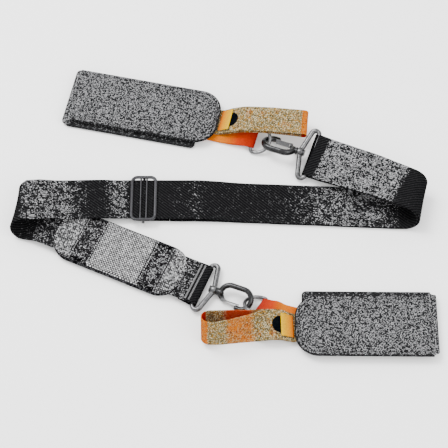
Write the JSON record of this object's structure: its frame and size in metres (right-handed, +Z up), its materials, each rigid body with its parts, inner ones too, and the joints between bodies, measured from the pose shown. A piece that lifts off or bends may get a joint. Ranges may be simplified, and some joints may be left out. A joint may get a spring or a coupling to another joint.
{
  "type": "padded shoulder carrying sling",
  "caption": "Shoulder strap folded in a Z, with a sliding pad, a slider, and a swivel snap hook at each end that holds a folded hook-and-loop wrap with webbing loops.",
  "frame": {"origin": "on the ground under the middle of the laid-out sling", "axes": "+X to the right along the middle run of the strap, +Y away from the front, +Z up"},
  "size_m": [0.4658, 0.3717, 0.0383],
  "materials": {
    "webbing": "twill woven polyester",
    "sewing_thread": "thread",
    "slider_metal": "satin black",
    "pad_foam": "woven cover",
    "pad_mesh": "basket weave mesh",
    "binding": "grosgrain binding",
    "ring_metal": "dark nickel",
    "hook_metal": "dark nickel",
    "gate_metal": "nickel",
    "dring_metal": "nickel",
    "wrap_fabric": "brushed loop fabric",
    "wrap_padding": "foam",
    "hook_tape": "hook tape",
    "loop_tape": "loop tape",
    "orange_webbing": "melange woven webbing",
    "red_webbing": "woven webbing",
    "yellow_tab": "woven tab",
    "patch_black": "satin patch"
  },
  "bodies": {
    "strap": {"shoulder_strap": "webbing", "strap_return_layer": "webbing", "strap_end_stitching": "sewing_thread"},
    "slider": {"slider_frame": "slider_metal", "slider_sewn_end": "webbing", "slider_stitching": "sewing_thread"},
    "pad": {"pad_cushion": "pad_foam", "pad_binding": "binding", "pad_left_cap": "pad_mesh", "pad_right_cap": "pad_mesh", "pad_sleeve": "pad_mesh"},
    "upper_ring": {"upper_webbing_ring": "ring_metal"},
    "upper_hook": {"upper_hook": "hook_metal", "upper_swivel_rivet": "hook_metal", "upper_gate_pin": "gate_metal", "upper_gate_spring": "gate_metal"},
    "upper_gate": {"upper_gate": "gate_metal"},
    "upper_dring": {"upper_dring": "dring_metal"},
    "upper_wrap": {"upper_front_cover": "wrap_fabric", "upper_front_padding": "wrap_padding", "upper_loop_patch": "loop_tape", "upper_front_binding": "binding", "upper_handle_loop": "orange_webbing", "upper_ring_loop": "red_webbing", "upper_tab": "yellow_tab", "upper_round_patch": "patch_black", "upper_tip_stitching": "sewing_thread", "upper_fold": "wrap_fabric"},
    "upper_wrap_back": {"upper_back_cover": "wrap_fabric", "upper_back_padding": "wrap_padding", "upper_hook_tape": "hook_tape", "upper_back_binding": "binding"},
    "lower_ring": {"lower_webbing_ring": "ring_metal"},
    "lower_hook": {"lower_hook": "hook_metal", "lower_swivel_rivet": "hook_metal", "lower_gate_pin": "gate_metal", "lower_gate_spring": "gate_metal"},
    "lower_gate": {"lower_gate": "gate_metal"},
    "lower_dring": {"lower_dring": "dring_metal"},
    "lower_wrap": {"lower_front_cover": "wrap_fabric", "lower_front_padding": "wrap_padding", "lower_loop_patch": "loop_tape", "lower_front_binding": "binding", "lower_handle_loop": "orange_webbing", "lower_ring_loop": "red_webbing", "lower_tab": "yellow_tab", "lower_round_patch": "patch_black", "lower_tip_stitching": "sewing_thread", "lower_fold": "wrap_fabric"},
    "lower_wrap_back": {"lower_back_cover": "wrap_fabric", "lower_back_padding": "wrap_padding", "lower_hook_tape": "hook_tape", "lower_back_binding": "binding"}
  },
  "joints": [
    {"name": "slider_slide", "type": "slide", "parent": "strap", "child": "slider", "axis": [1, 0, 0], "range_m": [0, 0.034], "deforming": ["strap_return_layer"]},
    {"name": "pad_slide", "type": "slide", "parent": "strap", "child": "pad", "axis": [-0.9135, 0.4067, 0], "range_m": [-0.003, 0.006]},
    {"name": "upper_ring_hinge", "type": "hinge", "parent": "strap", "child": "upper_ring", "pos_m": [0.10346, 0.06344, 0.014], "axis": [-0.3398, -0.8885, -0.3085], "range_deg": [-75, 10]},
    {"name": "upper_hook_swivel", "type": "hinge", "parent": "upper_ring", "child": "upper_hook", "pos_m": [0.10346, 0.06344, 0.014], "axis": [-0.9256, 0.374, -0.0576], "range_deg": [-150, 90]},
    {"name": "upper_gate_hinge", "type": "hinge", "parent": "upper_hook", "child": "upper_gate", "pos_m": [0.08034, 0.07908, 0.00957], "axis": [0.1162, 0.4258, 0.8973], "range_deg": [0, 30], "stiffness_Nm_per_rad": 0.02, "springref_deg": -11.46},
    {"name": "upper_dring_hinge", "type": "hinge", "parent": "upper_hook", "child": "upper_dring", "pos_m": [0.0507, 0.08476, 0.01072], "axis": [-0.3018, -0.8214, -0.484], "range_deg": [-12, 12]},
    {"name": "upper_wrap_hinge", "type": "hinge", "parent": "upper_dring", "child": "upper_wrap", "pos_m": [0.03765, 0.09003, 0.00991], "axis": [-0.3018, -0.8214, -0.484], "range_deg": [-6, 60]},
    {"name": "upper_wrap_opening", "type": "hinge", "parent": "upper_wrap", "child": "upper_wrap_back", "pos_m": [-0.17058, 0.1507, 0.0058], "axis": [0.2079, 0.9781, 0], "range_deg": [0, 180], "deforming": ["upper_fold"]},
    {"name": "lower_ring_hinge", "type": "hinge", "parent": "strap", "child": "lower_ring", "pos_m": [-0.02104, -0.09866, 0.0048], "axis": [0.3907, 0.9205, 0], "range_deg": [-75, 10]},
    {"name": "lower_hook_swivel", "type": "hinge", "parent": "lower_ring", "child": "lower_hook", "pos_m": [-0.02104, -0.09866, 0.0048], "axis": [0.9175, -0.3895, 0.0802], "continuous": true},
    {"name": "lower_gate_hinge", "type": "hinge", "parent": "lower_hook", "child": "lower_gate", "pos_m": [0.00212, -0.11484, 0.00417], "axis": [-0.2376, -0.3754, 0.8959], "range_deg": [0, 30], "stiffness_Nm_per_rad": 0.02, "springref_deg": -11.46},
    {"name": "lower_dring_hinge", "type": "hinge", "parent": "lower_hook", "child": "lower_dring", "pos_m": [0.03126, -0.12086, 0.00937], "axis": [0.3775, 0.7899, -0.4832], "range_deg": [-12, 12]},
    {"name": "lower_wrap_hinge", "type": "hinge", "parent": "lower_dring", "child": "lower_wrap", "pos_m": [0.0442, -0.12635, 0.0105], "axis": [0.3775, 0.7899, -0.4832], "range_deg": [-6, 60]},
    {"name": "lower_wrap_opening", "type": "hinge", "parent": "lower_wrap", "child": "lower_wrap_back", "pos_m": [0.22685, -0.14985, 0.0058], "axis": [-0.0087, -1, 0], "range_deg": [0, 180], "deforming": ["lower_fold"]}
  ]
}
